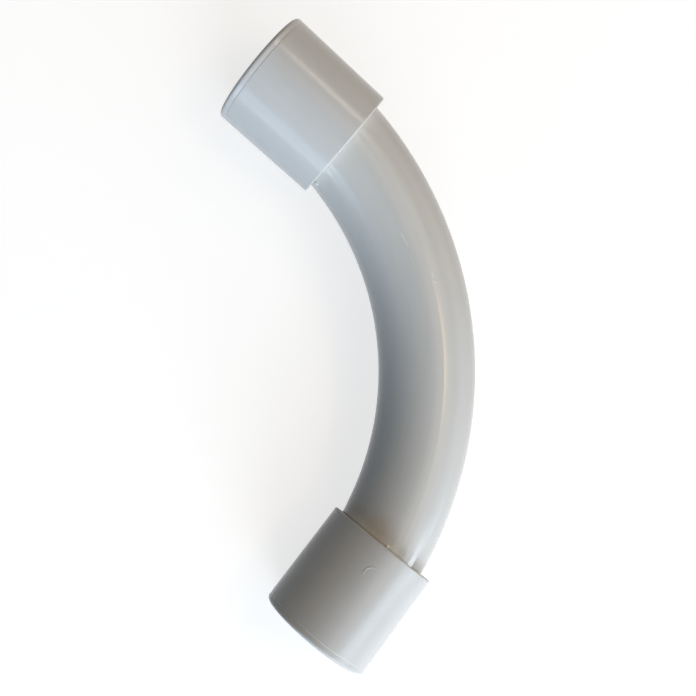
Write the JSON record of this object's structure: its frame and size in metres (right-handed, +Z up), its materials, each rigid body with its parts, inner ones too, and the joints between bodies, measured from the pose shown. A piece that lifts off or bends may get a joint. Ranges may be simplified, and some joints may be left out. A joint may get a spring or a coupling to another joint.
{
  "type": "pvc conduit elbow",
  "caption": "Rigid grey PVC conduit bend turning a wiring run through a right angle, with a socket coupling cemented on each end.",
  "frame": {"origin": "bottom centre of the whole fitting as it lies flat on its two couplings", "axes": "+Z up, square to the plane of the bend; +X out of the upper coupling's free socket; +Y out of the lower coupling's free socket; the back of the bend is towards -X -Y"},
  "size_m": [0.115, 0.115, 0.03],
  "materials": {
    "pvc_tube": "semi-gloss extruded light grey PVC",
    "pvc_coupling": "semi-gloss moulded light grey PVC",
    "solvent_cement": "dried glossy cement"
  },
  "bodies": {
    "root": {"bend_tube": "pvc_tube", "upper_coupling": "pvc_coupling", "lower_coupling": "pvc_coupling", "upper_cement_joint": "solvent_cement", "lower_cement_joint": "solvent_cement"}
  },
  "joints": []
}
